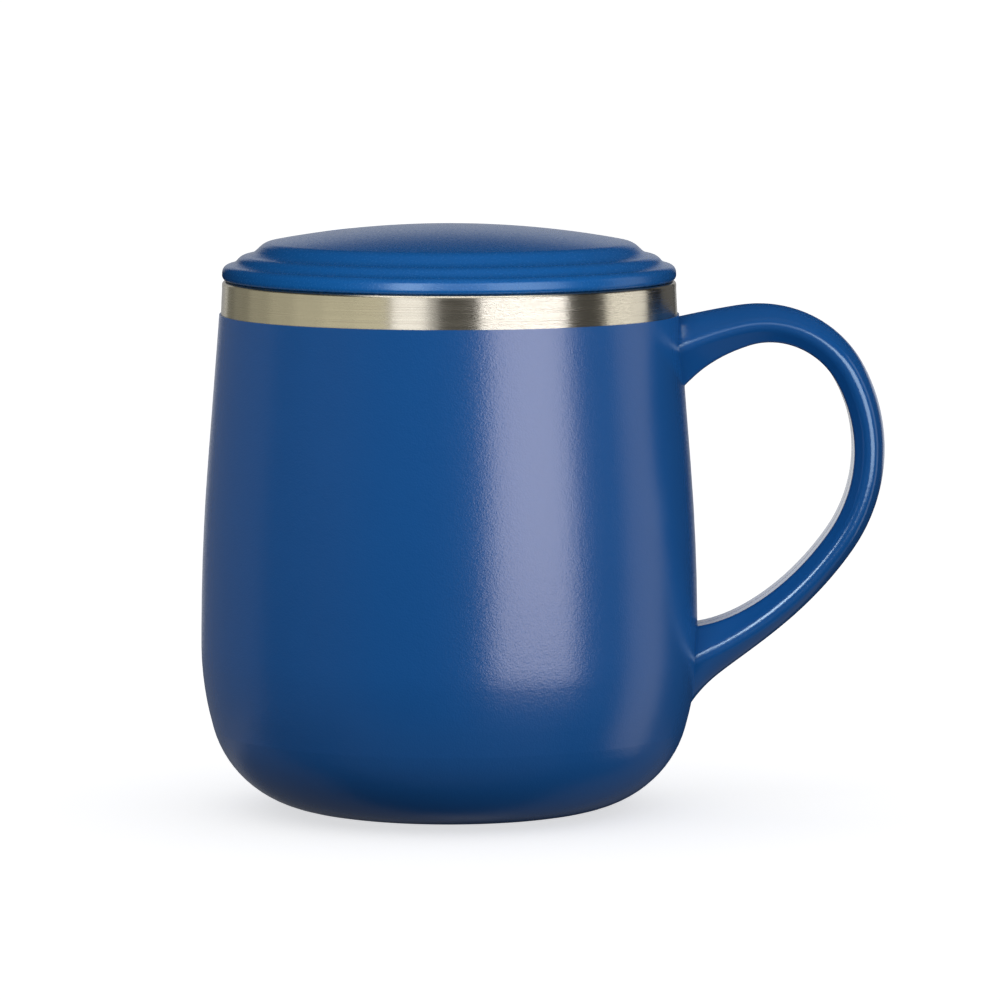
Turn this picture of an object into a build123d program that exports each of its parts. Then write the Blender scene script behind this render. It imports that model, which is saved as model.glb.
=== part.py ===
from build123d import *
from math import atan2, cos, exp, pi, radians, sin, sqrt, tan
import os

# A double-walled steel mug: a coated outer shell with a bare brushed band at the mouth, a drawn
# inner cup, a hollow handle of two pressed halves, and a drop-in lid with a silicone seal.
# Frame: origin on the mug's axis at the floor, +Z up, handle towards +X. Millimetres and degrees.

# Outside of the coated body, from the floor up
FOOT_HEIGHT = 0.3  # the bare foot ring stands this far below the coat
BELLY_RADIUS = 44.0  # widest radius of the coat
CORNER_RADIUS = 19.4  # arc between the flat base and the heel
HEEL_RADIUS = 55.0  # arc between the corner and the belly
HEEL_TURN = 16.0  # how far the heel arc turns below the belly
BARREL_RADIUS = 400.0  # long arc above the belly
TAPER = 4.6  # lean of the straight upper wall
COAT_EDGE_HEIGHT = 87.8  # where the coat ends, above the floor
BAND_HEIGHT = 5.85  # bare steel, from the coat's edge to the top of the lip
BAND_DRAFT = 0.25  # how much the band draws in towards the lip

# Sheets and the gap between the walls
COAT_THICKNESS = 0.28
COAT_CLEARANCE = 0.02  # between the coat and the steel
SHELL_WALL = 0.6
CUP_WALL = 0.6
VACUUM_GAP = 3.6
LIP_WELD_DEPTH = 3.0  # the two walls lie face to face this far below the lip
NECK_DEPTH = 10.0  # straight part of the mouth that takes the lid's skirt
NECK_FLARE = 8.0  # height over which the cup widens into the neck

# Pressed pan in the base, with its evacuation port
BASE_LEDGE = 1.5  # flat rim of the shell round the pan
COAT_MARGIN = 0.3  # bare rim between the coat and the pan
PAN_SHEET = 0.6
PAN_FLANGE = 1.0  # the welded flange rises this far above the shell's rim
PAN_BEND = 0.7
FOOT_WIDTH = 4.0
FOOT_SLOPE = 0.8
PAN_RECESS = 2.0  # the pan's middle lies this far above the floor
DIMPLE_RADIUS = 5.0
DIMPLE_DEPTH = 1.1
DIMPLE_SLOPE = 0.7
PORT_RADIUS = 1.0
PORT_SEAL_RADIUS = 2.4
PORT_SEAL_DROP = 0.7  # glass below the dimple's roof
PORT_SEAL_HEAD = 0.3  # glass above the port
COVER_RADIUS = 9.0
COVER_THICKNESS = 0.5
GETTER_RADIUS = 3.5
GETTER_THICKNESS = 1.2
GETTER_OFFSET = 11.0

# Handle: its middle line is a chain of tangent arcs in the XZ plane, from the upper root outwards
HANDLE_ROOT_DROP = 5.9  # the middle line leaves the shell this far below the coat's edge
HANDLE_RISE = 26.0  # its lean there, above the horizontal
HANDLE_RADII = (51.8, 17.2, 28.4, 56.4)
HANDLE_TURNS = (13.0, 74.5, 63.5, 31.0)  # of the arcs with those radii
HANDLE_THICKNESS = 5.6  # in the plane of the loop, away from the roots
UPPER_FLARE = 5.4  # extra thickness at the upper root
UPPER_FLARE_LENGTH = 9.5
LOWER_FLARE = 5.6  # extra thickness at the lower root
LOWER_FLARE_LENGTH = 7.7
GRIP_WIDTH = 9.5  # flat inner face, across the loop
RIDGE_WIDTH = 15.6  # at the ridge along each side, before it is rounded
RIDGE_PLACE = 0.51  # share of the thickness from the inner face to the ridge
HANDLE_SHEET = 0.9
GRIP_EDGE_ROUND = 1.2
RIDGE_ROUND = 1.7
SEAM_CHAMFER = 0.15  # edge of each half along the weld seam
ROOT_EMBED = 6.0  # length of blank that the shell's curve trims off at each root
HANDLE_STATIONS = 33
STATION_CROWDING = 0.35  # draws the stations towards the roots, where the thickness changes most

# Lid: three tiers that step up to a low dome
SEAT_CLEARANCE = 0.1  # between the lid's brim and the lip
BRIM_OVERHANG = 0.15  # brim beyond the band, in radius
BRIM_ROUND = 0.5  # lower edge of the brim
TIER_HEIGHTS = (2.95, 1.68, 2.45)
TIER_SETBACKS = (2.1, 3.1)  # from the foot of one tier's wall to the next
TIER_DRAFTS = (0.5, 1.6, 3.2)  # how far each tier's wall leans in
TIER_ROUNDS = (1.2, 1.4, 4.0)  # top edges of the tiers
TIER_FOOT_ROUND = 1.3
DOME_RISE = 2.7
LID_WALL = 1.8
SKIRT_CLEARANCE = 0.6  # between the skirt and the mouth, in radius
SKIRT_WALL = 3.0
SKIRT_DEPTH = 8.0
SKIRT_ROUND = 0.6
GROOVE_TOP = 2.0  # seal groove, below the brim
GROOVE_HEIGHT = 3.4
GROOVE_DEPTH = 1.5
VENT_RADIUS = 2.3
VENT_OFFSET = 20.8
VENT_DIRECTION = 162.0  # from +X, about the axis

# Silicone seal, drawn at its fitted size
SEAL_BORE_CLEARANCE = 0.08
SEAL_SIDE_CLEARANCE = 0.12
SEAL_WALL_CLEARANCE = 0.12  # between the lips and the mouth
SEAL_LIPS = 2
SEAL_LIP_REACH = 0.9  # from the ring to a lip's edge
SEAL_LIP_EDGE = 0.35

# Sizes that follow from those above
BELLY_HEIGHT = FOOT_HEIGHT + CORNER_RADIUS + (HEEL_RADIUS - CORNER_RADIUS) * sin(radians(HEEL_TURN))
BARREL_CENTRE = (BELLY_RADIUS - BARREL_RADIUS, BELLY_HEIGHT)
HEEL_CENTRE = (BELLY_RADIUS - HEEL_RADIUS, BELLY_HEIGHT)
BASE_RADIUS = HEEL_CENTRE[0] + (HEEL_RADIUS - CORNER_RADIUS) * cos(radians(HEEL_TURN))
CORNER_CENTRE = (BASE_RADIUS, FOOT_HEIGHT + CORNER_RADIUS)
OPENING_RADIUS = BASE_RADIUS - BASE_LEDGE
SHELL_INSET = COAT_THICKNESS + COAT_CLEARANCE
CUP_INSET = SHELL_INSET + SHELL_WALL + VACUUM_GAP
LIP_HEIGHT = COAT_EDGE_HEIGHT + BAND_HEIGHT
HANDLE_ROOT_HEIGHT = COAT_EDGE_HEIGHT - HANDLE_ROOT_DROP
NECK_BASE = LIP_HEIGHT - NECK_DEPTH


def wall_radius(height, inset):
    """Radius of the body at a height, on the surface that lies this far inside the coat's face."""
    rise = height - BELLY_HEIGHT
    barrel = BARREL_RADIUS - inset
    heel = HEEL_RADIUS - inset
    corner = CORNER_RADIUS - inset
    if rise > barrel * sin(radians(TAPER)):
        straight = rise - barrel * sin(radians(TAPER))
        return BARREL_CENTRE[0] + barrel * cos(radians(TAPER)) - straight * tan(radians(TAPER))
    if rise >= 0:
        return BARREL_CENTRE[0] + sqrt(barrel**2 - rise**2)
    if -rise <= heel * sin(radians(HEEL_TURN)):
        return HEEL_CENTRE[0] + sqrt(heel**2 - rise**2)
    return BASE_RADIUS + sqrt(corner**2 - (height - CORNER_CENTRE[1]) ** 2)


BAND_RADIUS = wall_radius(COAT_EDGE_HEIGHT, SHELL_INSET) - BAND_DRAFT  # outside of the lip
NECK_RADIUS = BAND_RADIUS - SHELL_WALL  # where cup and shell lie face to face
MOUTH_RADIUS = NECK_RADIUS - CUP_WALL
SEAT_HEIGHT = LIP_HEIGHT + SEAT_CLEARANCE
BRIM_RADIUS = BAND_RADIUS + BRIM_OVERHANG
SKIRT_RADIUS = MOUTH_RADIUS - SKIRT_CLEARANCE
GROOVE_RADIUS = SKIRT_RADIUS - GROOVE_DEPTH


def turned(edges):
    """Solid of revolution about the mug's axis from a closed outline in radius and height."""
    return revolve(Plane.XZ * make_face(edges), Axis.Z)


def rounded(outline, corners):
    """Outline face with each listed corner, a point and a radius, rounded."""
    for point, radius in corners:
        corner = outline.vertices().sort_by_distance(Vector(*point))[0]
        outline = fillet(corner, radius)
    return outline


def body_wall(inset, top_height):
    """Edges of the body's section from the flat base up to a height, this far inside the coat's face."""
    lean = radians(TAPER)
    corner = CenterArc(CORNER_CENTRE, CORNER_RADIUS - inset, -90, 90 - HEEL_TURN)
    heel = CenterArc(HEEL_CENTRE, HEEL_RADIUS - inset, -HEEL_TURN, HEEL_TURN)
    barrel = CenterArc(BARREL_CENTRE, BARREL_RADIUS - inset, 0, TAPER)
    top = (wall_radius(top_height, 0) - inset * cos(lean), top_height - inset * sin(lean))
    return [corner, heel, barrel, Line(barrel @ 1, top)]


def lip_round(wall, start_angle):
    """Quarter round of the lip, over the wall on one side of the seam."""
    return CenterArc((NECK_RADIUS, LIP_HEIGHT - wall), wall, start_angle, 90)


def powder_coat():
    """Blue coat on the shell, cut round the handle's roots."""
    outside = body_wall(0, COAT_EDGE_HEIGHT)
    inside = body_wall(COAT_THICKNESS, COAT_EDGE_HEIGHT)
    rim_outside = (OPENING_RADIUS + COAT_MARGIN, FOOT_HEIGHT)
    rim_inside = (OPENING_RADIUS + COAT_MARGIN, FOOT_HEIGHT + COAT_THICKNESS)
    rim = Polyline(outside[0] @ 0, rim_outside, rim_inside, inside[0] @ 0)
    edge = Line(outside[-1] @ 1, inside[-1] @ 1)
    half = handle_blank(hollow=False)
    return turned([*outside, *inside, rim, edge]) - half - mirror(half, Plane.XZ)


def outer_shell():
    """Formed outer wall, with the bare band and its half of the lip."""
    outside = body_wall(SHELL_INSET, COAT_EDGE_HEIGHT)
    inside = body_wall(SHELL_INSET + SHELL_WALL, COAT_EDGE_HEIGHT)
    rim_outside = (OPENING_RADIUS, FOOT_HEIGHT + SHELL_INSET)
    rim_inside = (OPENING_RADIUS, FOOT_HEIGHT + SHELL_INSET + SHELL_WALL)
    rim = Polyline(outside[0] @ 0, rim_outside, rim_inside, inside[0] @ 0)
    lip = lip_round(SHELL_WALL, 0)
    band = Line(outside[-1] @ 1, lip @ 0)
    weld = Polyline(lip @ 1, (NECK_RADIUS, LIP_HEIGHT - LIP_WELD_DEPTH), inside[-1] @ 1)
    return turned([*outside, *inside, rim, band, lip, weld])


def inner_cup():
    """Drawn liner that holds the drink, widening into the straight neck and its half of the lip."""
    lean = radians(TAPER)
    flare_base = NECK_BASE - NECK_FLARE
    outside = body_wall(CUP_INSET, flare_base)
    inside = body_wall(CUP_INSET + CUP_WALL, flare_base)
    ends = ((-sin(lean), cos(lean)), (0, 1))
    flare_outside = Spline(outside[-1] @ 1, (NECK_RADIUS, NECK_BASE), tangents=ends)
    flare_inside = Spline(inside[-1] @ 1, (MOUTH_RADIUS, NECK_BASE), tangents=ends)
    lip = lip_round(CUP_WALL, 90)
    neck_outside = Line(flare_outside @ 1, lip @ 0)
    neck_inside = Line(flare_inside @ 1, lip @ 1)
    floor_outside = outside[0] @ 0
    floor_inside = inside[0] @ 0
    floor = Polyline(floor_outside, (0, floor_outside.Y), (0, floor_inside.Y), floor_inside)
    return turned([*outside, flare_outside, neck_outside, lip, *inside, flare_inside, neck_inside, floor])


def pan_line():
    """Underside of the pressed pan, from the welded flange over the foot ring to the port."""
    flange_top = FOOT_HEIGHT + SHELL_INSET + SHELL_WALL + PAN_FLANGE
    foot_inside = OPENING_RADIUS - FOOT_WIDTH
    roof = PAN_RECESS + DIMPLE_DEPTH
    points = (
        (OPENING_RADIUS, flange_top),
        (OPENING_RADIUS, 0),
        (foot_inside, 0),
        (foot_inside - FOOT_SLOPE, PAN_RECESS),
        (DIMPLE_RADIUS, PAN_RECESS),
        (DIMPLE_RADIUS - DIMPLE_SLOPE, roof),
        (PORT_RADIUS, roof),
    )
    outer_bend = PAN_BEND + PAN_SHEET
    inner_bend = PAN_BEND / 2
    return FilletPolyline(points, radius=(outer_bend, outer_bend, inner_bend, inner_bend, outer_bend))


def outer_bottom():
    """Pressed pan whose flange is welded into the shell's base and whose foot ring meets the floor."""
    sheet = offset(pan_line(), amount=PAN_SHEET, side=Side.RIGHT, kind=Kind.INTERSECTION)
    return turned(sheet.edges())


def port_seal():
    """Glass bead run into the evacuation port from below."""
    roof = PAN_RECESS + DIMPLE_DEPTH
    points = (
        (0, roof - PORT_SEAL_DROP),
        (PORT_SEAL_RADIUS - PORT_SEAL_DROP, roof - PORT_SEAL_DROP),
        (PORT_SEAL_RADIUS, roof),
        (PORT_RADIUS, roof),
        (PORT_RADIUS, roof + PAN_SHEET),
    )
    head = (0, roof + PAN_SHEET + PORT_SEAL_HEAD)
    dome = RadiusArc(points[-1], head, -(PORT_RADIUS**2 + PORT_SEAL_HEAD**2) / (2 * PORT_SEAL_HEAD))
    return turned([Polyline(points), dome, Line(head, points[0])])


def bottom_cover():
    """Thin disc under the pan, over the port."""
    disc = Pos(0, 0, PAN_RECESS - COVER_THICKNESS / 2) * Cylinder(COVER_RADIUS, COVER_THICKNESS)
    rim = disc.edges().sort_by(Axis.Z)[0]
    return fillet(rim, COVER_THICKNESS / 2)


def getter():
    """Gas-absorbing pellet fixed to the pan inside the evacuated gap."""
    height = PAN_RECESS + PAN_SHEET + GETTER_THICKNESS / 2
    return Pos(-GETTER_OFFSET, 0, height) * Cylinder(GETTER_RADIUS, GETTER_THICKNESS)


def handle_path():
    """Middle line of the handle in the XZ plane, with straight blanks that run into the shell."""
    root = Vector(wall_radius(HANDLE_ROOT_HEIGHT, SHELL_INSET), HANDLE_ROOT_HEIGHT)
    heading = Vector(cos(radians(HANDLE_RISE)), sin(radians(HANDLE_RISE)))
    edges = [Line(root - heading * ROOT_EMBED, root)]
    for radius, turn in zip(HANDLE_RADII, HANDLE_TURNS):
        edges.append(JernArc(edges[-1] @ 1, edges[-1] % 1, radius, -turn))
    run_start = edges[-1] @ 1
    heading = edges[-1] % 1
    to_shell = (run_start.X - wall_radius(run_start.Y, SHELL_INSET)) / -heading.X
    edges.append(Line(run_start, run_start + heading * (to_shell + ROOT_EMBED)))
    return Wire(edges)


def handle_section(thickness, hollow):
    """Front half of the handle's section: X points out of the loop, Y away from its middle plane.

    The flat grip face, the slanted side up to the ridge and the crowned outer face are one pressed
    sheet, so the hollow section is a thin channel that is open at the middle plane.
    """
    grip = -thickness / 2
    crown = thickness / 2
    ridge = grip + RIDGE_PLACE * thickness
    edge_y = GRIP_WIDTH / 2
    ridge_y = RIDGE_WIDTH / 2
    crown_radius = (ridge_y**2 + (crown - ridge) ** 2) / (2 * (crown - ridge))
    sides = Polyline((grip, 0), (grip, edge_y), (ridge, ridge_y))
    outer_face = RadiusArc((ridge, ridge_y), (crown, 0), crown_radius)
    if not hollow:
        face = make_face([sides, outer_face, Line((crown, 0), (grip, 0))])
    else:
        inset = HANDLE_SHEET
        lean = atan2(ridge_y - edge_y, ridge - grip)
        slant = inset / cos(lean)
        inner_edge = (grip + inset, edge_y + inset * tan(lean) - slant)
        inner_ridge = (ridge, ridge_y - slant)
        inner_sides = Polyline((grip + inset, 0), inner_edge, inner_ridge)
        inner_face = RadiusArc(inner_ridge, (crown - inset, 0), crown_radius - inset)
        seams = [Line((grip, 0), (grip + inset, 0)), Line((crown, 0), (crown - inset, 0))]
        face = make_face([sides, outer_face, inner_sides, inner_face, *seams])
        for seam_edge in (grip, crown):
            face = chamfer(face.vertices().sort_by_distance(Vector(seam_edge, 0))[0], SEAM_CHAMFER)
        face = rounded(face, ((inner_edge, GRIP_EDGE_ROUND - inset), (inner_ridge, RIDGE_ROUND - inset)))
    return rounded(face, (((grip, edge_y), GRIP_EDGE_ROUND), ((ridge, ridge_y), RIDGE_ROUND)))


def handle_blank(hollow):
    """Front half of the handle before the shell trims it: a loft along the middle line."""
    path = handle_path()
    sections = []
    for station in range(HANDLE_STATIONS):
        share = station / (HANDLE_STATIONS - 1)
        place = share - STATION_CROWDING * sin(2 * pi * share) / (2 * pi)
        point = path @ place
        along = path % place
        from_upper = place * path.length - ROOT_EMBED
        from_lower = (1 - place) * path.length - ROOT_EMBED
        thickness = HANDLE_THICKNESS
        thickness += UPPER_FLARE * exp(-from_upper / UPPER_FLARE_LENGTH)
        thickness += LOWER_FLARE * exp(-from_lower / LOWER_FLARE_LENGTH)
        plane = Plane((point.X, 0, point.Y), x_dir=(-along.Y, 0, along.X), z_dir=(along.X, 0, along.Y))
        sections.append(plane * handle_section(thickness, hollow))
    return loft(sections)


def handle_front_half():
    """Pressed front half of the handle, trimmed to sit on the steel shell."""
    outside = body_wall(SHELL_INSET, COAT_EDGE_HEIGHT)
    base = outside[0] @ 0
    top = outside[-1] @ 1
    body = turned([*outside, Polyline(base, (0, base.Y), (0, top.Y), top)])
    return handle_blank(hollow=True) - body


def handle_back_half():
    """Mirror image of the front half."""
    return mirror(handle_front_half(), Plane.XZ)


def lid_cover():
    """Moulded lid: skirt with its seal groove, brim, three tiers and the dome with its vent."""
    wall_radii = [BRIM_RADIUS]
    for setback in TIER_SETBACKS:
        wall_radii.append(wall_radii[-1] - setback)
    tops = [SEAT_HEIGHT]
    points = [(SKIRT_RADIUS, SEAT_HEIGHT), (BRIM_RADIUS, SEAT_HEIGHT)]
    corners = [((BRIM_RADIUS, SEAT_HEIGHT), BRIM_ROUND)]
    for radius, height, draft, top_round in zip(wall_radii, TIER_HEIGHTS, TIER_DRAFTS, TIER_ROUNDS):
        if len(tops) > 1:
            points.append((radius, tops[-1]))
            corners.append(((radius, tops[-1]), TIER_FOOT_ROUND))
        tops.append(tops[-1] + height)
        points.append((radius - draft, tops[-1]))
        corners.append(((radius - draft, tops[-1]), top_round))
    shoulder = points[-1]
    apex = tops[-1] + DOME_RISE
    dome_radius = (shoulder[0] ** 2 + DOME_RISE**2) / (2 * DOME_RISE)
    dome = RadiusArc(shoulder, (0, apex), -dome_radius)

    roof_radius = shoulder[0] - LID_WALL
    roof_rise = dome_radius - LID_WALL - sqrt((dome_radius - LID_WALL) ** 2 - roof_radius**2)
    roof_edge = (roof_radius, apex - LID_WALL - roof_rise)
    roof = RadiusArc(roof_edge, (0, apex - LID_WALL), -(dome_radius - LID_WALL))
    ledge = tops[-2] - LID_WALL
    skirt_inside = SKIRT_RADIUS - SKIRT_WALL
    skirt_base = SEAT_HEIGHT - SKIRT_DEPTH
    groove_top = SEAT_HEIGHT - GROOVE_TOP
    groove_base = groove_top - GROOVE_HEIGHT
    skirt = (
        (SKIRT_RADIUS, SEAT_HEIGHT),
        (SKIRT_RADIUS, groove_top),
        (GROOVE_RADIUS, groove_top),
        (GROOVE_RADIUS, groove_base),
        (SKIRT_RADIUS, groove_base),
        (SKIRT_RADIUS, skirt_base),
        (skirt_inside, skirt_base),
        (skirt_inside, ledge),
        (roof_radius, ledge),
        roof_edge,
    )
    corners.append(((SKIRT_RADIUS, skirt_base), SKIRT_ROUND))
    corners.append(((skirt_inside, skirt_base), SKIRT_ROUND))
    corners.append(((skirt_inside, ledge), LID_WALL))
    axis = Line((0, apex), (0, apex - LID_WALL))
    section = make_face([Polyline(points), dome, axis, roof, Polyline(skirt)])
    lid = revolve(Plane.XZ * rounded(section, corners), Axis.Z)
    vent_place = Rot(0, 0, VENT_DIRECTION) * Pos(VENT_OFFSET, 0, apex)
    return lid - vent_place * Cylinder(VENT_RADIUS, 4 * (LID_WALL + DOME_RISE))


def lid_seal():
    """Silicone ring in the skirt's groove, with wiping lips that lean up towards the mouth's wall."""
    bore = GROOVE_RADIUS + SEAL_BORE_CLEARANCE
    tip = MOUTH_RADIUS - SEAL_WALL_CLEARANCE
    ring = tip - SEAL_LIP_REACH
    height = GROOVE_HEIGHT - 2 * SEAL_SIDE_CLEARANCE
    base = SEAT_HEIGHT - GROOVE_TOP - GROOVE_HEIGHT + SEAL_SIDE_CLEARANCE
    pitch = height / SEAL_LIPS
    points = [(bore, base), (ring, base)]
    for lip in range(SEAL_LIPS):
        foot = base + lip * pitch
        points.append((tip, foot + pitch - 2 * SEAL_LIP_EDGE))
        points.append((tip, foot + pitch - SEAL_LIP_EDGE))
        points.append((ring, foot + pitch - SEAL_LIP_EDGE))
    points.append((ring, base + height))
    points.append((bore, base + height))
    return turned([Polyline(points, close=True)])


PIECES = (
    inner_cup,
    outer_shell,
    powder_coat,
    outer_bottom,
    port_seal,
    bottom_cover,
    getter,
    handle_front_half,
    handle_back_half,
    lid_cover,
    lid_seal,
)


def main():
    """Writes each piece to its own file, under its own name."""
    os.makedirs("parts", exist_ok=True)
    for piece in PIECES:
        export_step(piece(), f"parts/{piece.__name__}.step")


if __name__ == "__main__":
    main()
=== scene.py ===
"""Dresses a double-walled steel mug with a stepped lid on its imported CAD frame.

Metres, +Z up, the handle towards +X. The camera looks along +Y and a little down.
"""

import logging
import math
from dataclasses import dataclass
from enum import Enum

import bmesh
import bpy
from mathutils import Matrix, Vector


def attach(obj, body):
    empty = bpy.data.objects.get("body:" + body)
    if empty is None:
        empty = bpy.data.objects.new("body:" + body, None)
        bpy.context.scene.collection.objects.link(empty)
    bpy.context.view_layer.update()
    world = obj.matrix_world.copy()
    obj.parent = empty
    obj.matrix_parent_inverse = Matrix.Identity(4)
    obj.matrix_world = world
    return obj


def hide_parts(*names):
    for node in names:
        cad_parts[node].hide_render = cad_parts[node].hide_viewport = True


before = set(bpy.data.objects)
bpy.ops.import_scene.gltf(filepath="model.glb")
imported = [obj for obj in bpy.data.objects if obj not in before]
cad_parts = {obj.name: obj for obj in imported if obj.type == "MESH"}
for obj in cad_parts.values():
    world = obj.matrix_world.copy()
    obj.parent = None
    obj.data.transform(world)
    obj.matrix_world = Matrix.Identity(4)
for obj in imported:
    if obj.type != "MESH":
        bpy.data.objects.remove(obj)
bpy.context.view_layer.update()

LOG = logging.getLogger("mug")

Colour = tuple[float, float, float, float]
Tone = tuple[float, float, float]
Point = tuple[float, float, float]
Span = tuple[float, float]
Place = tuple[float, float]
Corner = tuple[float, float, float]

MM = 0.001
WHITE: Colour = (1.0, 1.0, 1.0, 1.0)
# Nearly all values of a noise lie in this span
NOISE_SPAN: Span = (0.3, 0.7)
# A mix node's colour sockets share their names with others, so they go by number
MIX_FACTOR, MIX_FIRST, MIX_SECOND, MIX_RESULT = 0, 6, 7, 2
# A point nearer to the axis than this, in millimetres, lies on it
ON_AXIS = 1e-6
# Watts per square metre that give the face of an area light a brightness of 1
FACE_POWER = 4.0


class Graph:
    """Shader graph of one material, with the node chains that the finishes share."""

    def __init__(self, name: str) -> None:
        """Starts a material with a plain principled shader.

        Args:
            name: Name of the material.
        """
        self.material: bpy.types.Material = bpy.data.materials.new(name)
        self.material.use_nodes = True
        self.tree: bpy.types.NodeTree = self.material.node_tree
        self.shader: bpy.types.Node = next(n for n in self.tree.nodes if n.type == "BSDF_PRINCIPLED")

    def add(self, kind: str, **settings: object) -> bpy.types.Node:
        """Adds a node.

        Args:
            kind: Type name of the node.
            settings: Properties of the node.

        Returns:
            The new node.
        """
        node = self.tree.nodes.new(kind)
        for key, value in settings.items():
            setattr(node, key, value)
        return node

    def wire(self, node: bpy.types.Node, inputs: dict[str | int, object]) -> bpy.types.Node:
        """Feeds a node's inputs.

        Args:
            node: Node to feed.
            inputs: For each input's name or number, an output socket to link or a constant to set.

        Returns:
            The same node.
        """
        for key, value in inputs.items():
            if isinstance(value, bpy.types.NodeSocket):
                self.tree.links.new(value, node.inputs[key])
            else:
                node.inputs[key].default_value = value
        return node

    def surface(self, inputs: dict[str | int, object]) -> bpy.types.Material:
        """Feeds the principled shader's inputs and returns the finished material."""
        self.wire(self.shader, inputs)
        return self.material

    def place(self) -> bpy.types.NodeSocket:
        """Returns the point on the piece, in metres, which moves with its body."""
        return self.add("ShaderNodeTexCoord").outputs["Object"]

    def reckon(self, kind: str, *values: object) -> bpy.types.NodeSocket:
        """Returns the result of a math operation on sockets or constants."""
        node = self.add("ShaderNodeMath", operation=kind)
        return self.wire(node, dict(enumerate(values))).outputs["Value"]

    def noise(
        self, size: float, detail: float, vector: bpy.types.NodeSocket | None = None
    ) -> bpy.types.NodeSocket:
        """Adds a noise.

        Args:
            size: Size of one grain, in the vector's units.
            detail: Finer layers on top.
            vector: Place to read; the point on the piece if left out.

        Returns:
            The noise, from 0 to 1.
        """
        node = self.add("ShaderNodeTexNoise")
        point = self.place() if vector is None else vector
        self.wire(node, {"Vector": point, "Scale": 1.0 / size, "Detail": detail})
        return node.outputs["Fac"]

    def spread(self, value: bpy.types.NodeSocket, span: Span) -> bpy.types.NodeSocket:
        """Stretches a noise.

        Args:
            value: The noise.
            span: What the two ends of its usual span become.

        Returns:
            The stretched noise.
        """
        node = self.add("ShaderNodeMapRange")
        self.wire(node, {
            "Value": value,
            "From Min": NOISE_SPAN[0],
            "From Max": NOISE_SPAN[1],
            "To Min": span[0],
            "To Max": span[1],
        })
        return node.outputs["Result"]

    def tint(self, factor: bpy.types.NodeSocket, first: Colour, second: Colour) -> bpy.types.NodeSocket:
        """Mixes two colours.

        Args:
            factor: 0 for the first colour, 1 for the second.
            first: The first colour.
            second: The second colour.

        Returns:
            The mixed colour.
        """
        node = self.add("ShaderNodeMix", data_type="RGBA")
        self.wire(node, {MIX_FACTOR: factor, MIX_FIRST: first, MIX_SECOND: second})
        return node.outputs[MIX_RESULT]

    def bump(
        self, height: bpy.types.NodeSocket, depth: float, below: bpy.types.NodeSocket | None = None
    ) -> bpy.types.NodeSocket:
        """Adds relief.

        Args:
            height: Height from 0 to 1.
            depth: Real height of a full step, in metres.
            below: Normal of the coarser relief that this one lies on.

        Returns:
            The changed normal.
        """
        node = self.wire(self.add("ShaderNodeBump"), {"Height": height, "Distance": depth})
        if below is not None:
            self.wire(node, {"Normal": below})
        return node.outputs["Normal"]


@dataclass(frozen=True)
class PowderCoat:
    """Satin powder coat with a fine orange peel.

    Attributes:
        name: Name of the material.
        colour: Main colour, linear.
        shade: Colour of its darker mottling.
        gloss: Lowest and highest roughness.
        peel_size: Width of one swelling of the peel.
        peel_depth: Height of the peel.
        peel_detail: Finer layers of the peel.
        wave_size: Width of one of the long swellings under the peel.
        wave_depth: Height of those swellings.
        wave_detail: Finer layers of those swellings.
        mottle_size: Width of the mottling.
        mottle_detail: Finer layers of the mottling.
        sheen: Strength of its mirror layer.
        sheen_tint: Colour of its mirror layer.
    """

    name: str
    colour: Colour
    shade: Colour
    gloss: Span = (0.215, 0.265)
    peel_size: float = 0.32 * MM
    peel_depth: float = 0.024 * MM
    peel_detail: float = 1.0
    wave_size: float = 1.1 * MM
    wave_depth: float = 0.01 * MM
    wave_detail: float = 0.0
    mottle_size: float = 7.0 * MM
    mottle_detail: float = 3.0
    sheen: float = 0.8
    sheen_tint: Colour = (1.0, 0.92, 1.0, 1.0)

    def material(self) -> bpy.types.Material:
        """Makes the coat's material.

        Returns:
            The material.
        """
        graph = Graph(self.name)
        wave = graph.noise(self.wave_size, self.wave_detail)
        peel = graph.noise(self.peel_size, self.peel_detail)
        mottle = graph.noise(self.mottle_size, self.mottle_detail)
        relief = graph.bump(wave, self.wave_depth)
        return graph.surface({
            "Base Color": graph.tint(mottle, self.colour, self.shade),
            "Roughness": graph.spread(peel, self.gloss),
            "Normal": graph.bump(peel, self.peel_depth, relief),
            "Specular IOR Level": self.sheen,
            "Specular Tint": self.sheen_tint,
        })


@dataclass(frozen=True)
class MouldedPlastic:
    """Moulded plastic with the fine spark texture of its tool.

    Attributes:
        name: Name of the material.
        colour: Main colour, linear.
        shade: Colour where the plastic flowed last.
        gloss: Lowest and highest roughness.
        spark_size: Width of one grain of the texture.
        spark_depth: Height of the texture.
        spark_detail: Finer layers of the texture.
        flow_size: Width of the flow marks.
        flow_detail: Finer layers of the flow marks.
        sheen: Strength of its mirror layer.
        sheen_tint: Colour of its mirror layer.
    """

    name: str
    colour: Colour
    shade: Colour
    gloss: Span = (0.22, 0.29)
    spark_size: float = 0.42 * MM
    spark_depth: float = 0.007 * MM
    spark_detail: float = 1.0
    flow_size: float = 12.0 * MM
    flow_detail: float = 2.0
    sheen: float = 0.9
    sheen_tint: Colour = (0.62, 0.82, 1.0, 1.0)

    def material(self) -> bpy.types.Material:
        """Makes the plastic's material.

        Returns:
            The material.
        """
        graph = Graph(self.name)
        spark = graph.noise(self.spark_size, self.spark_detail)
        flow = graph.noise(self.flow_size, self.flow_detail)
        return graph.surface({
            "Base Color": graph.tint(flow, self.colour, self.shade),
            "Roughness": graph.spread(spark, self.gloss),
            "Normal": graph.bump(spark, self.spark_depth),
            "Specular IOR Level": self.sheen,
            "Specular Tint": self.sheen_tint,
        })


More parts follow.
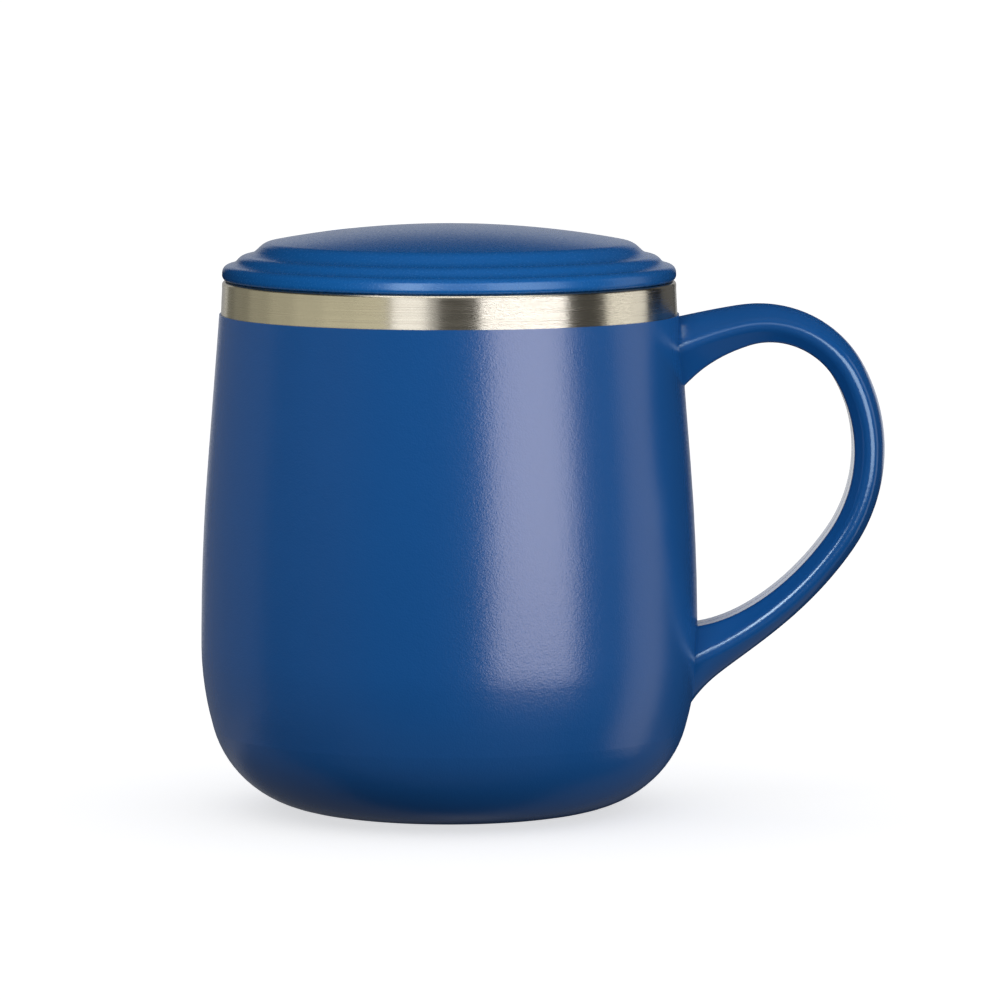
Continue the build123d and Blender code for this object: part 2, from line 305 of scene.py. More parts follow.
@dataclass(frozen=True)
class TurnedSteel:
    """Stainless steel brushed round the mug's axis.

    Attributes:
        name: Name of the material.
        colour: Main colour, linear.
        streak_colour: Colour of its duller streaks.
        gloss: Lowest and highest roughness.
        streak_pitch: Distance from streak to streak.
        streak_length: Length of a streak.
        streak_depth: Depth of a streak.
        streak_detail: Finer streaks between them.
        grip: How far its mirror image is drawn out across the streaks.
        grip_turn: Turn of that drawing out from the streaks, in whole turns.
        radial: Share of the radius in the streaks, 0 for an upright wall.
    """

    name: str
    colour: Colour
    streak_colour: Colour
    gloss: Span
    streak_pitch: float = 0.14 * MM
    streak_length: float = 30.0 * MM
    streak_depth: float = 0.00006 * MM
    streak_detail: float = 3.0
    grip: float = 0.85
    grip_turn: float = 0.25
    radial: float = 1.0

    def material(self) -> bpy.types.Material:
        """Makes the steel's material.

        Returns:
            The material.
        """
        graph = Graph(self.name)
        point = graph.wire(graph.add("ShaderNodeSeparateXYZ"), {"Vector": graph.place()})
        east, north, height = (point.outputs[axis] for axis in "XYZ")
        squares = (graph.reckon("MULTIPLY", way, way) for way in (east, north))
        radius = graph.reckon("SQRT", graph.reckon("ADD", *squares))
        rise = graph.reckon("ADD", graph.reckon("MULTIPLY", radius, self.radial), height)
        # The lay is counted in streaks, so one grain of the noise is one streak
        lay = graph.wire(graph.add("ShaderNodeCombineXYZ"), {
            "X": graph.reckon("DIVIDE", east, self.streak_length),
            "Y": graph.reckon("DIVIDE", north, self.streak_length),
            "Z": graph.reckon("DIVIDE", rise, self.streak_pitch),
        })
        streak = graph.noise(1.0, self.streak_detail, lay.outputs["Vector"])
        round_axis = graph.add("ShaderNodeTangent", direction_type="RADIAL", axis="Z")
        return graph.surface({
            "Base Color": graph.tint(streak, self.colour, self.streak_colour),
            "Metallic": 1.0,
            "Roughness": graph.spread(streak, self.gloss),
            "Normal": graph.bump(streak, self.streak_depth),
            "Anisotropic": self.grip,
            "Anisotropic Rotation": self.grip_turn,
            "Tangent": round_axis.outputs["Tangent"],
        })


@dataclass(frozen=True)
class Silicone:
    """Soft translucent silicone with a dusty skin.

    Attributes:
        name: Name of the material.
        colour: Main colour, linear.
        shade: Colour of the dustier places.
        gloss: Lowest and highest roughness.
        skin_size: Width of one grain of the skin.
        skin_depth: Height of the skin's grain.
        skin_detail: Finer layers of the grain.
        bleed: Share of light that spreads under the skin.
        bleed_depth: How far it spreads.
        refraction: Index of refraction.
    """

    name: str
    colour: Colour
    shade: Colour
    gloss: Span = (0.42, 0.6)
    skin_size: float = 0.9 * MM
    skin_depth: float = 0.01 * MM
    skin_detail: float = 4.0
    bleed: float = 0.35
    bleed_depth: float = 1.2 * MM
    refraction: float = 1.41

    def material(self) -> bpy.types.Material:
        """Makes the silicone's material.

        Returns:
            The material.
        """
        graph = Graph(self.name)
        skin = graph.noise(self.skin_size, self.skin_detail)
        return graph.surface({
            "Base Color": graph.tint(skin, self.colour, self.shade),
            "Roughness": graph.spread(skin, self.gloss),
            "Normal": graph.bump(skin, self.skin_depth),
            "Subsurface Weight": self.bleed,
            "Subsurface Scale": self.bleed_depth,
            "IOR": self.refraction,
        })


@dataclass(frozen=True)
class SolderGlass:
    """Dark glass bead with fine bubbles.

    Attributes:
        name: Name of the material.
        colour: Main colour, linear.
        shade: Colour where it has bubbles.
        gloss: Lowest and highest roughness.
        bubble_size: Width of one bubble.
        bubble_depth: Height of a bubble.
        bubble_detail: Finer bubbles between them.
        refraction: Index of refraction.
    """

    name: str
    colour: Colour
    shade: Colour
    gloss: Span = (0.08, 0.2)
    bubble_size: float = 0.3 * MM
    bubble_depth: float = 0.02 * MM
    bubble_detail: float = 2.0
    refraction: float = 1.6

    def material(self) -> bpy.types.Material:
        """Makes the glass's material.

        Returns:
            The material.
        """
        graph = Graph(self.name)
        bubbles = graph.noise(self.bubble_size, self.bubble_detail)
        return graph.surface({
            "Base Color": graph.tint(bubbles, self.colour, self.shade),
            "Roughness": graph.spread(bubbles, self.gloss),
            "Normal": graph.bump(bubbles, self.bubble_depth),
            "IOR": self.refraction,
        })


@dataclass(frozen=True)
class Sinter:
    """Grey sintered metal, coarse and dull.

    Attributes:
        name: Name of the material.
        colour: Main colour, linear.
        shade: Colour between the grains.
        gloss: Lowest and highest roughness.
        grain_size: Width of one grain.
        grain_depth: Height of a grain.
        grain_detail: Finer grains between them.
        metal: Share of bare metal in its surface.
    """

    name: str
    colour: Colour
    shade: Colour
    gloss: Span = (0.6, 0.85)
    grain_size: float = 0.2 * MM
    grain_depth: float = 0.06 * MM
    grain_detail: float = 4.0
    metal: float = 0.7

    def material(self) -> bpy.types.Material:
        """Makes the pellet's material.

        Returns:
            The material.
        """
        graph = Graph(self.name)
        grain = graph.noise(self.grain_size, self.grain_detail)
        return graph.surface({
            "Base Color": graph.tint(grain, self.colour, self.shade),
            "Metallic": self.metal,
            "Roughness": graph.spread(grain, self.gloss),
            "Normal": graph.bump(grain, self.grain_depth),
        })


class Finish(Enum):
    """Finishes on the mug."""

    COAT = PowderCoat("coat_blue", (0.0080, 0.079, 0.268, 1.0), (0.0074, 0.074, 0.254, 1.0))
    HANDLE = PowderCoat(
        "handle_blue", (0.0050, 0.066, 0.234, 1.0), (0.0046, 0.062, 0.222, 1.0), (0.17, 0.22),
        peel_depth=0.004 * MM, wave_depth=0.008 * MM, sheen=1.0, sheen_tint=(0.66, 0.86, 1.0, 1.0),
    )
    LID = MouldedPlastic("lid_blue", (0.0050, 0.080, 0.268, 1.0), (0.0046, 0.075, 0.256, 1.0))
    BAND = TurnedSteel(
        "band_steel", (0.585, 0.537, 0.428, 1.0), (0.555, 0.508, 0.404, 1.0), (0.2, 0.29),
        radial=0.0,
    )
    LINER = TurnedSteel(
        "liner_steel", (0.58, 0.565, 0.53, 1.0), (0.52, 0.51, 0.475, 1.0), (0.3, 0.42),
        streak_pitch=0.3 * MM,
    )
    PAN = TurnedSteel(
        "pan_steel", (0.55, 0.54, 0.515, 1.0), (0.47, 0.46, 0.44, 1.0), (0.3, 0.46),
        streak_pitch=0.16 * MM,
    )
    SEAL = Silicone("seal_silicone", (0.60, 0.61, 0.61, 1.0), (0.54, 0.55, 0.56, 1.0))
    GLASS = SolderGlass("port_glass", (0.03, 0.04, 0.035, 1.0), (0.05, 0.06, 0.05, 1.0))
    PELLET = Sinter("getter_sinter", (0.24, 0.24, 0.25, 1.0), (0.14, 0.14, 0.15, 1.0))


class Wardrobe:
    """Materials made so far, one for each finish."""

    def __init__(self) -> None:
        """Starts with no material."""
        self.made: dict[Finish, bpy.types.Material] = {}

    def dress(self, piece: bpy.types.Object, finish: Finish) -> bpy.types.Object:
        """Gives a piece its finish, as its only material.

        Args:
            piece: Object to dress.
            finish: Finish to give it.

        Returns:
            The same piece.
        """
        if finish not in self.made:
            self.made[finish] = finish.value.material()
        piece.data.materials.clear()
        piece.data.materials.append(self.made[finish])
        return piece


@dataclass
class Lathe:
    """Turns an outline about the mug's axis into a closed mesh.

    Attributes:
        steps: Facets in one turn.
        arc_steps: Facets in one rounded corner.
        drill_steps: Facets round a drilled hole.
        crease: Edges steeper than this stay sharp, in degrees.
    """

    steps: int = 288
    arc_steps: int = 10
    drill_steps: int = 72
    crease: float = 40.0

    def soften(self, corners: list[Corner]) -> list[Place]:
        """Rounds the corners of an open line.

        Args:
            corners: Radius, height and rounding of each corner, in millimetres.

        Returns:
            Points along the rounded line.
        """
        line: list[Place] = [corners[0][:2]]
        for before, corner, after in zip(corners, corners[1:], corners[2:]):
            line.extend(self.rounded(before[:2], corner, after[:2]))
        line.append(corners[-1][:2])
        return line

    def rounded(self, before: Place, corner: Corner, after: Place) -> list[Place]:
        """Rounds one corner.

        Args:
            before: Point that the line comes from.
            corner: Radius, height and rounding of the corner.
            after: Point that the line goes to.

        Returns:
            Points along its arc, or the corner itself where it stays sharp.
        """
        rounding = corner[2]
        if rounding == 0.0:
            return [corner[:2]]
        middle = Vector(corner[:2])
        back = (Vector(before) - middle).normalized()
        ahead = (Vector(after) - middle).normalized()
        half = back.angle(ahead) / 2
        centre = middle + (back + ahead).normalized() * rounding / math.sin(half)
        reach = rounding / math.tan(half)
        first = middle + back * reach - centre
        last = middle + ahead * reach - centre
        sweep = first.angle_signed(last)
        points: list[Place] = []
        for step in range(self.arc_steps + 1):
            turn = -sweep * step / self.arc_steps
            points.append((
                centre.x + first.x * math.cos(turn) - first.y * math.sin(turn),
                centre.y + first.x * math.sin(turn) + first.y * math.cos(turn),
            ))
        return points

    def arc(self, start: Place, top: float, count: int) -> list[Place]:
        """Draws a flat dome.

        Args:
            start: Radius and height of its edge.
            top: Height on the axis.
            count: Facets from the edge to the axis.

        Returns:
            Points from the edge to the axis.
        """
        rise = top - start[1]
        bow = (start[0] ** 2 + rise**2) / (2 * rise)
        radii = [start[0] * (count - step) / count for step in range(count + 1)]
        return [(radius, top - bow + math.sqrt(bow**2 - radius**2)) for radius in radii]

    def turn(self, name: str, line: list[Place]) -> bpy.types.Object:
        """Turns a line that starts and ends on the axis, or a loop beside it.

        Args:
            name: Name of the piece.
            line: Points of the line, in millimetres.

        Returns:
            The closed piece.
        """
        work = bmesh.new()
        rings = []
        for radius, height in line:
            count = self.steps if radius > ON_AXIS else 1
            angles = [math.tau * step / self.steps for step in range(count)]
            wide = radius * MM
            ring = [(wide * math.cos(angle), wide * math.sin(angle), height * MM) for angle in angles]
            rings.append([work.verts.new(point) for point in ring])
        if line[0][0] > ON_AXIS:
            rings.append(rings[0])
        for lower, upper in zip(rings, rings[1:]):
            for step in range(self.steps):
                ahead = (step + 1) % self.steps
                face = [lower[step % len(lower)], lower[ahead % len(lower)],
                        upper[ahead % len(upper)], upper[step % len(upper)]]
                work.faces.new(list(dict.fromkeys(face)))
        bmesh.ops.recalc_face_normals(work, faces=work.faces)
        return self.finished(name, work)

    def finished(self, name: str, work: bmesh.types.BMesh) -> bpy.types.Object:
        """Makes a smooth object of a mesh in work.

        Args:
            name: Name of the piece.
            work: The mesh, which is freed.

        Returns:
            The object.
        """
        mesh = bpy.data.meshes.new(name)
        work.to_mesh(mesh)
        work.free()
        self.smooth(mesh)
        piece = bpy.data.objects.new(name, mesh)
        bpy.context.scene.collection.objects.link(piece)
        return piece

    def smooth(self, mesh: bpy.types.Mesh) -> None:
        """Shades a mesh smooth but for its creases."""
        mesh.shade_smooth()
        mesh.set_sharp_from_angle(angle=math.radians(self.crease))

    def drill(self, piece: bpy.types.Object, middle: Place, radius: float, heights: Span) -> None:
        """Drills an upright hole through a piece.

        Args:
            piece: Piece to drill.
            middle: Place of the hole, in millimetres.
            radius: Radius of the hole, in millimetres.
            heights: Lower and upper end of the drill, in millimetres.
        """
        work = bmesh.new()
        low, high = heights
        bmesh.ops.create_cone(
            work, cap_ends=True, segments=self.drill_steps,
            radius1=radius * MM, radius2=radius * MM, depth=(high - low) * MM,
        )
        centre = (middle[0] * MM, middle[1] * MM, (low + high) / 2 * MM)
        bmesh.ops.translate(work, verts=work.verts, vec=centre)
        bit = self.finished("drill", work)
        cut = piece.modifiers.new("hole", "BOOLEAN")
        cut.operation = "DIFFERENCE"
        cut.solver = "EXACT"
        cut.object = bit
        view = bpy.context.evaluated_depsgraph_get()
        drilled = bpy.data.meshes.new_from_object(piece.evaluated_get(view))
        piece.modifiers.clear()
        whole = piece.data
        piece.data = drilled
        drilled.name = piece.name
        bpy.data.meshes.remove(whole)
        bpy.data.objects.remove(bit)
        self.smooth(drilled)


@dataclass
class Vessel:
    """Coated steel body with its liner and its closed base, in millimetres.

    Attributes:
        wardrobe: Finishes to dress it with.
        lathe: Lathe that turns its weld.
        lip_radius: Middle of the lip, where liner and shell are welded.
        lip_top: Height of the weld's crown.
        lip_round: Rounding of the weld over both walls.
        lip_depth: How far the weld is dressed down the band.
        lip_flare: How far its outer foot stands out from its rounding.
        crown_steps: Facets over the weld's crown.
        finishes: Finish of each node.
    """

    wardrobe: Wardrobe
    lathe: Lathe
    lip_radius: float = 39.45
    lip_top: float = 93.68
    lip_round: float = 0.63
    lip_depth: float = 0.45
    lip_flare: float = 0.02
    crown_steps: int = 40
    finishes: tuple[tuple[str, Finish], ...] = (
        ("inner_cup", Finish.LINER),
        ("outer_shell", Finish.BAND),
        ("powder_coat", Finish.COAT),
        ("outer_bottom", Finish.PAN),
        ("port_seal", Finish.GLASS),
        ("bottom_cover", Finish.PAN),
        ("getter", Finish.PELLET),
    )

    def build(self) -> bpy.types.Object:
        """Turns the smooth weld along the lip.

        Returns:
            The weld.
        """
        shoulder = self.lip_top - self.lip_round
        foot = shoulder - self.lip_depth
        loop = [(self.lip_radius, foot), (self.lip_radius + self.lip_round + self.lip_flare, foot)]
        for step in range(self.crown_steps + 1):
            turn = math.pi * step / self.crown_steps
            loop.append((
                self.lip_radius + self.lip_round * math.cos(turn),
                shoulder + self.lip_round * math.sin(turn),
            ))
        loop.append((self.lip_radius - self.lip_round, foot))
        piece = self.lathe.turn("lip_weld", loop)
        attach(piece, "mug")
        return piece

    def dress(self) -> list[bpy.types.Object]:
        """Builds the weld and gives it and the body's nodes their finishes.

        Returns:
            The dressed pieces.
        """
        dressed = [self.wardrobe.dress(self.build(), Finish.BAND)]
        for node, finish in self.finishes:
            dressed.append(self.wardrobe.dress(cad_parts[node], finish))
        return dressed


@dataclass
class StrapHandle:
    """Hollow handle of two pressed halves.

    Attributes:
        wardrobe: Finishes to dress it with.
        halves: Nodes of the two halves.
    """

    wardrobe: Wardrobe
    halves: tuple[str, ...] = ("handle_front_half", "handle_back_half")

    def dress(self) -> list[bpy.types.Object]:
        """Gives both halves the coat and returns them."""
        return [self.wardrobe.dress(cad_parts[node], Finish.HANDLE) for node in self.halves]


@dataclass
class SteppedLid:
    """Drop-in lid with its silicone seal, in millimetres.

    Attributes:
        wardrobe: Finishes to dress it with.
        lathe: Lathe that turns it.
        skirt: Line of the skirt, from its root inside the dome round to the seat under the brim.
        mouldings: Line of the brim and the tiers, from the seat to the dome's shoulder.
        roof: Radius and height of the roof's edge inside.
        roof_top: Height of the roof on the axis.
        apex: Height of the dome on the axis.
        dome_steps: Facets from the shoulder to the axis.
        shoulder_steps: Facets of the dome that the shoulder's rounding takes up.
        vent_place: Middle of the steam vent.
        vent_radius: Radius of the steam vent.
        vent_room: How far its drill reaches below the roof's top and above the apex.
    """

    wardrobe: Wardrobe
    lathe: Lathe
    skirt: tuple[Corner, ...] = (
        (30.0, 99.305, 0.0),
        (30.0, 96.58, 0.0),
        (35.25, 96.58, 1.8),
        (35.25, 85.75, 0.6),
        (38.25, 85.75, 0.6),
        (38.25, 88.35, 0.0),
        (36.75, 88.35, 0.0),
        (36.75, 91.75, 0.0),
        (38.25, 91.75, 0.0),
        (38.25, 93.75, 0.0),
    )
    mouldings: tuple[Corner, ...] = (
        (40.16, 93.75, 1.0),
        (39.95, 96.38, 1.3),
        (38.0, 96.66, 2.4),
        (36.75, 98.08, 2.1),
        (34.75, 98.4, 3.2),
        (32.6, 100.38, 3.4),
    )
    roof: Place = (30.0, 99.305)
    roof_top: float = 101.73
    apex: float = 103.53
    dome_steps: int = 40
    shoulder_steps: int = 4
    vent_place: Place = (-19.782, 6.428)
    vent_radius: float = 2.3
    vent_room: Span = (6.0, 2.0)

    def build(self) -> bpy.types.Object:
        """Turns the lid, which stands for the plain solid one, and drills its vent.

        Returns:
            The lid.
        """
        dome = self.lathe.arc(self.mouldings[-1][:2], self.apex, self.dome_steps)
        roof = self.lathe.arc(self.roof, self.roof_top, self.dome_steps)
        shoulder = (*dome[self.shoulder_steps], 0.0)
        outside = self.lathe.soften([*self.skirt, *self.mouldings, shoulder])
        line = roof[::-1] + outside[1:] + dome[self.shoulder_steps + 1:]
        piece = self.lathe.turn("lid_dome", line)
        heights = (self.roof_top - self.vent_room[0], self.apex + self.vent_room[1])
        self.lathe.drill(piece, self.vent_place, self.vent_radius, heights)
        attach(piece, "lid")
        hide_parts("lid_cover")
        return piece

    def dress(self) -> list[bpy.types.Object]:
        """Builds the lid, gives it and its seal their finishes and returns both."""
        lid = self.wardrobe.dress(self.build(), Finish.LID)
        return [lid, self.wardrobe.dress(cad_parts["lid_seal"], Finish.SEAL)]


class Reach(Enum):
    """Pieces that a light is flagged off from or let through to."""

    BODY = ("powder_coat",)
    HANDLE = ("handle_front_half", "handle_back_half")
    LID = ("lid_dome", "lid_seal")
    STEEL = ("outer_shell", "lip_weld", "inner_cup", "outer_bottom", "port_seal", "bottom_cover", "getter")


Group = tuple[Reach, ...]
BLUE: Group = (Reach.BODY, Reach.HANDLE, Reach.LID)
SHELL: Group = (Reach.BODY, Reach.HANDLE)
BODY: Group = (Reach.BODY,)
HANDLE: Group = (Reach.HANDLE,)
LID: Group = (Reach.LID,)
STEEL: Group = (Reach.STEEL,)

NEUTRAL: Tone = (1.0, 1.0, 1.0)
WARM: Tone = (1.0, 0.98, 0.81)
COOL: Tone = (1.0, 1.02, 1.1)
COOLER: Tone = (1.0, 1.02, 1.14)


def named(group: Group) -> list[bpy.types.Object]:
    """Returns the pieces of a group."""
    return [bpy.data.objects[name] for reach in group for name in reach.value]


def lit_only(name: str, pieces: list[bpy.types.Object]) -> bpy.types.Collection:
    """Makes the collection that keeps a light, or what shades it, to some pieces.

    Args:
        name: Name of the collection.
        pieces: The pieces.

    Returns:
        The collection.
    """
    kept = bpy.data.collections.new(name)
    for piece in pieces:
        kept.objects.link(piece)
    return kept


@dataclass(frozen=True)
class SoftBox:
    """Flat studio light that faces the mug.

    Attributes:
        name: Name of the light.
        reach: Pieces that it lights.
        azimuth: Degrees from the camera's side, positive towards the handle.
        elevation: Degrees above the horizon.
        distance: From the mug's middle.
        width: Across.
        height: Up and down.
        radiance: Brightness of its face.
        colour: Colour of its light.
        mirrored: Whether glossy pieces mirror it, or it only fills the shade.
        past_lid: Whether the lid is kept from shading the steel from it.
    """

    name: str
    reach: Group
    azimuth: float
    elevation: float
    distance: float
    width: float
    height: float
    radiance: float
    colour: Tone = NEUTRAL
    mirrored: bool = True
    past_lid: bool = True

    def build(self, aim: Vector) -> bpy.types.Object:
        """Makes the light.

        Args:
            aim: Point that it faces.

        Returns:
            The light's object.
        """
        lamp = bpy.data.lights.new(self.name, "AREA")
        lamp.shape = "RECTANGLE"
        lamp.size = self.width
        lamp.size_y = self.height
        lamp.energy = FACE_POWER * self.radiance * self.width * self.height
        lamp.color = self.colour
        light = bpy.data.objects.new(self.name, lamp)
        bpy.context.scene.collection.objects.link(light)
        turn = math.radians(self.azimuth)
        rise = math.radians(self.elevation)
        away = Vector((math.sin(turn) * math.cos(rise), -math.cos(turn) * math.cos(rise), math.sin(rise)))
        light.location = aim + away * self.distance
        light.rotation_euler = (-away).to_track_quat("-Z", "Y").to_euler()
        light.visible_camera = False
        light.visible_glossy = self.mirrored
        light.light_linking.receiver_collection = lit_only("lit_" + self.name, named(self.reach))
        if self.reach == STEEL and self.past_lid:
            light.light_linking.blocker_collection = lit_only("past_" + self.name, named(SHELL + STEEL))
        return light


@dataclass(frozen=True)
class CardWall:
    """Row of warm cards that fades along the band's left side.

    Attributes:
        radiances: Brightness of each card, from the camera's side to the back.
        start: Azimuth of the place before the first card.
        pitch: Degrees from card to card.
        elevation: Degrees above the horizon.
        distance: From the mug's middle.
        width: Across one card.
        height: Up and down.
    """

    radiances: tuple[float, ...] = (0.68, 0.64, 0.56, 0.46, 0.35, 0.23, 0.15)
    start: float = -21.0
    pitch: float = 18.0
    elevation: float = 5.0
    distance: float = 1.3
    width: float = 0.41
    height: float = 1.0

    def cards(self) -> tuple[SoftBox, ...]:
        """Lays out the row.

        Returns:
            Its cards, in order.
        """
        row: list[SoftBox] = []
        for count, radiance in enumerate(self.radiances, start=1):
            azimuth = self.start - self.pitch * count
            row.append(SoftBox(
                f"steel_left_{count}", STEEL, azimuth, self.elevation, self.distance,
                self.width, self.height, radiance, WARM,
            ))
        return tuple(row)


@dataclass
class Studio:
    """Pale floor, soft lights and the camera.

    Attributes:
        eye: Where the camera stands.
        aim: Point in the middle of its view.
        lens: Focal length, in millimetres.
        sensor: Width of the camera's sensor, in millimetres.
        sight: How far the camera sees.
        floor_size: Side of the floor.
        floor_white: Share of light that the floor gives back.
        floor_roughness: Roughness of the floor.
        floor_light: Brightness of the floor away from the mug.
        shadow_share: Share of that brightness that the mug can shade.
        shadow_softness: Width of the overhead light, in degrees.
        surroundings: Brightness of the dim room that the mug reflects.
        light_aim: Point that the lights face.
        lights: Lights on the mug.
    """

    eye: Point = (0.0, -1.1697, 0.1701)
    aim: Point = (0.00897, 0.0, 0.0547)
    lens: float = 238.9
    sensor: float = 36.0
    sight: float = 50.0
    floor_size: float = 12.0
    floor_white: float = 0.9
    floor_roughness: float = 0.9
    floor_light: float = 1.05
    shadow_share: float = 0.36
    shadow_softness: float = 120.0
    surroundings: float = 0.015
    light_aim: Point = (0.0, 0.0, 0.05)
    # Each row: name, reach, azimuth, elevation, distance, width, height, radiance
    lights: tuple[SoftBox, ...] = (
        SoftBox("key_box", SHELL, 39.3, 5.6, 1.3, 0.96, 0.80, 3.15),
        SoftBox("right_card", BLUE, 102.0, 0.0, 1.3, 0.62, 1.6, 0.47),
        SoftBox("left_back", SHELL, -137.0, 0.0, 1.3, 2.3, 1.2, 0.12),
        SoftBox("top_fill", BLUE, 0.0, 80.0, 1.2, 1.2, 1.2, 0.75, mirrored=False),
        SoftBox("back_fill", BLUE, 165.0, 35.0, 1.4, 1.6, 1.0, 1.5, mirrored=False),
        SoftBox("rear_fill", BODY, 180.0, 12.0, 1.4, 1.8, 1.0, 1.0, mirrored=False),
        SoftBox("body_back", BODY, 180.0, 0.0, 1.6, 1.1, 0.44, 0.38),
        SoftBox("near_fill", BODY, -20.0, 45.0, 0.5, 0.4, 0.3, 2.7, mirrored=False),
        SoftBox("left_fill", BODY, -78.0, 25.0, 1.4, 1.8, 1.2, 0.85, mirrored=False),
        SoftBox("left_low", BODY, -80.0, -22.0, 1.3, 1.8, 0.6, 0.5, mirrored=False),
        SoftBox("floor_left", BODY, -140.0, -42.0, 1.2, 1.5, 1.0, 0.07),
        SoftBox("floor_right", BODY, 146.0, -42.0, 1.2, 1.0, 1.0, 0.06),
        SoftBox("floor_front", BODY, 0.0, -50.0, 1.2, 2.4, 1.0, 0.03),
        SoftBox("right_fill", BODY, 60.0, 25.0, 1.4, 1.2, 1.2, 0.8, mirrored=False),
        SoftBox("handle_back", HANDLE, -177.0, 0.0, 1.6, 2.24, 0.44, 0.7),
        SoftBox("handle_floor", HANDLE, 140.0, -60.0, 1.2, 2.0, 1.4, 0.10),
        SoftBox("handle_low", HANDLE, 10.0, -25.0, 1.3, 1.5, 0.8, 0.8, mirrored=False),
        SoftBox("handle_strip", HANDLE, -20.5, 27.0, 1.3, 0.39, 0.5, 7.0),
        SoftBox("handle_front", HANDLE, 10.0, 22.0, 1.4, 2.2, 0.45, 0.8),
        SoftBox("handle_top", HANDLE, 60.0, 75.0, 1.2, 1.2, 1.2, 1.0, mirrored=False),
        SoftBox("lid_key", LID, 39.3, 5.0, 1.3, 0.95, 1.9, 1.4),
        SoftBox("lid_strip", LID, -20.5, 5.0, 1.3, 0.42, 1.9, 2.6),
        SoftBox("lid_front", LID, 10.0, 5.0, 1.4, 2.2, 1.9, 0.6),
        SoftBox("lid_back", LID, 180.0, 9.0, 1.6, 0.9, 0.51, 0.46),
        SoftBox("lid_fill", LID, -5.0, 20.0, 1.4, 1.6, 0.8, 2.1, mirrored=False),
        SoftBox("steel_key", STEEL, 38.0, 5.0, 1.3, 1.09, 0.9, 1.66, COOLER),
        SoftBox("steel_right", STEEL, 101.0, 3.0, 1.3, 0.75, 1.0, 0.93),
        SoftBox("steel_strip", STEEL, -20.0, 5.0, 1.3, 0.40, 0.9, 1.36, COOL),
        SoftBox("steel_strip_edge", STEEL, -8.5, 5.0, 1.3, 0.14, 0.9, 0.5, COOL),
        *CardWall().cards(),
        SoftBox("steel_room", STEEL, 50.0, 5.0, 1.5, 4.0, 1.2, 0.055),
        SoftBox("steel_right_back", STEEL, 146.0, 5.0, 1.3, 0.55, 1.0, 0.09),
        SoftBox("steel_back", STEEL, -174.0, 5.0, 1.6, 1.4, 0.8, 0.3),
        SoftBox("steel_front", STEEL, 10.0, 55.0, 1.2, 2.0, 1.2, 0.6),
        SoftBox("steel_top", STEEL, 0.0, 86.0, 1.2, 1.2, 1.0, 2.2, past_lid=False),
    )

    def build(self) -> None:
        """Makes the floor, the lights, the surroundings and the camera."""
        floor = self.build_floor()
        for light in self.lights:
            light.build(Vector(self.light_aim))
        self.build_floor_light(lit_only("lit_floor", [floor]))
        self.build_surroundings()
        self.build_camera()

    def build_floor(self) -> bpy.types.Object:
        """Makes the pale floor, which the mug doesn't mirror.

        Returns:
            The floor.
        """
        half = self.floor_size / 2
        mesh = bpy.data.meshes.new("floor")
        corners = [(-half, -half, 0), (half, -half, 0), (half, half, 0), (-half, half, 0)]
        mesh.from_pydata(corners, [], [(0, 1, 2, 3)])
        floor = bpy.data.objects.new("floor", mesh)
        bpy.context.scene.collection.objects.link(floor)
        mesh.materials.append(Graph("floor_pale").surface({
            "Base Color": (self.floor_white, self.floor_white, self.floor_white, 1.0),
            "Roughness": self.floor_roughness,
            "Specular IOR Level": 0.0,
            "Emission Color": WHITE,
            "Emission Strength": self.floor_light * (1 - self.shadow_share),
        }))
        floor.visible_glossy = False
        floor.visible_diffuse = False
        floor.visible_shadow = False
        return floor

    def build_floor_light(self, lit: bpy.types.Collection) -> None:
        """Makes the overhead light that gives the mug its soft contact shadow.

        Args:
            lit: Collection that says what it lights.
        """
        lamp = bpy.data.lights.new("floor_light", "SUN")
        lamp.energy = math.pi * self.floor_light * self.shadow_share / self.floor_white
        lamp.angle = math.radians(self.shadow_softness)
        light = bpy.data.objects.new("floor_light", lamp)
        bpy.context.scene.collection.objects.link(light)
        light.light_linking.receiver_collection = lit

    def build_surroundings(self) -> None:
        """Makes the white background and the dim room that the mug reflects."""
        world = bpy.data.worlds.new("surroundings")
        bpy.context.scene.world = world
        world.use_nodes = True
        nodes = world.node_tree.nodes
        links = world.node_tree.links
        output = next(n for n in nodes if n.type == "OUTPUT_WORLD")
        room = next(n for n in nodes if n.type == "BACKGROUND")
        backdrop = nodes.new("ShaderNodeBackground")
        for background, strength in ((room, self.surroundings), (backdrop, self.floor_light)):
            background.inputs["Color"].default_value = WHITE
            background.inputs["Strength"].default_value = strength
        path = nodes.new("ShaderNodeLightPath")
        mix = nodes.new("ShaderNodeMixShader")
        seen, reflected, shown = mix.inputs
        links.new(path.outputs["Is Camera Ray"], seen)
        links.new(room.outputs["Background"], reflected)
        links.new(backdrop.outputs["Background"], shown)
        links.new(mix.outputs["Shader"], output.inputs["Surface"])

    def build_camera(self) -> None:
        """Makes the camera at the photograph's angle."""
        lens = bpy.data.cameras.new("camera")
        lens.lens = self.lens
        lens.sensor_width = self.sensor
        lens.clip_end = self.sight
        camera = bpy.data.objects.new("camera", lens)
        bpy.context.scene.collection.objects.link(camera)
        camera.location = self.eye
        look = Vector(self.aim) - Vector(self.eye)
        camera.rotation_euler = look.to_track_quat("-Z", "Y").to_euler()
        bpy.context.scene.camera = camera
        bpy.context.scene.view_settings.view_transform = "Standard"


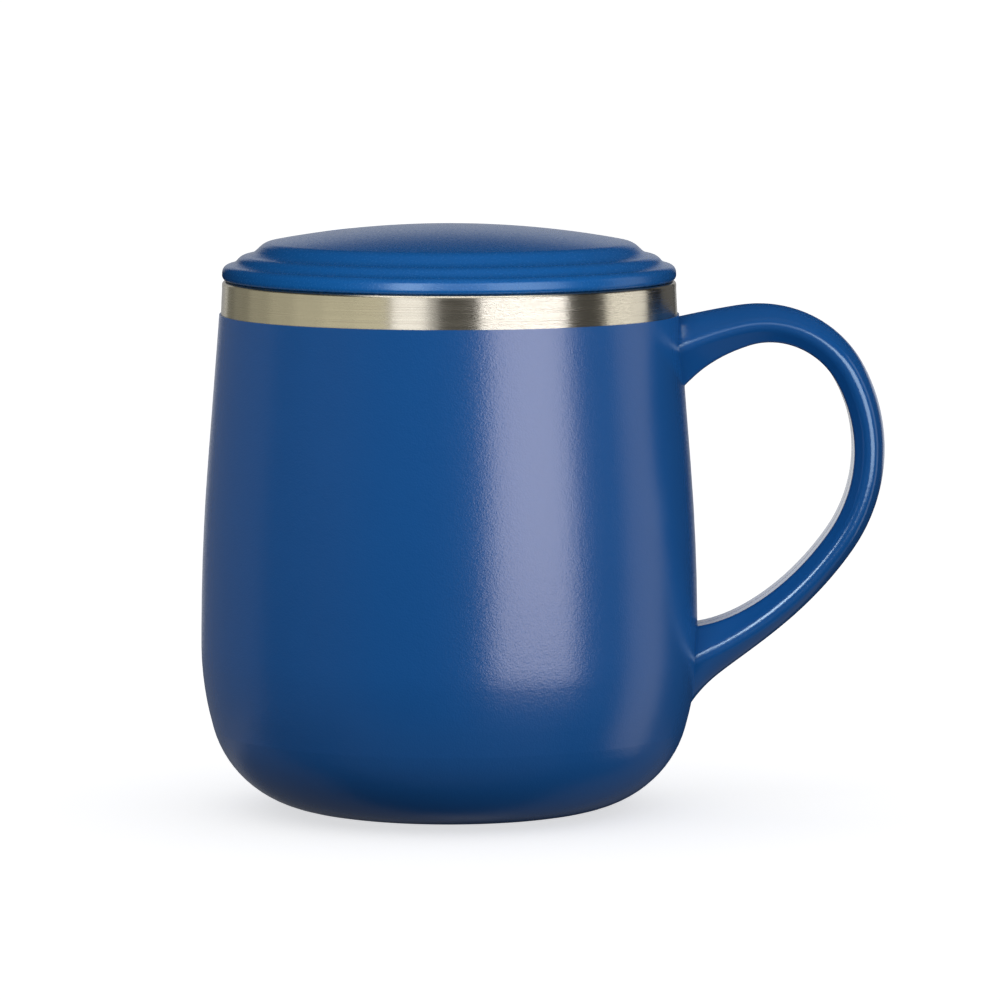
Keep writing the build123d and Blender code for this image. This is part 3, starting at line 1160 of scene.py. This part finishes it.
def main() -> None:
    """Dresses the sub-assemblies, reports their pieces and sets up the studio."""
    logging.basicConfig(level=logging.INFO, format="%(name)s: %(message)s")
    wardrobe = Wardrobe()
    lathe = Lathe()
    for part in (Vessel(wardrobe, lathe), StrapHandle(wardrobe), SteppedLid(wardrobe, lathe)):
        for piece in part.dress():
            LOG.info("%s: %s wears %s", type(part).__name__, piece.name, piece.data.materials[0].name)
    Studio().build()


if __name__ == "__main__":
    main()
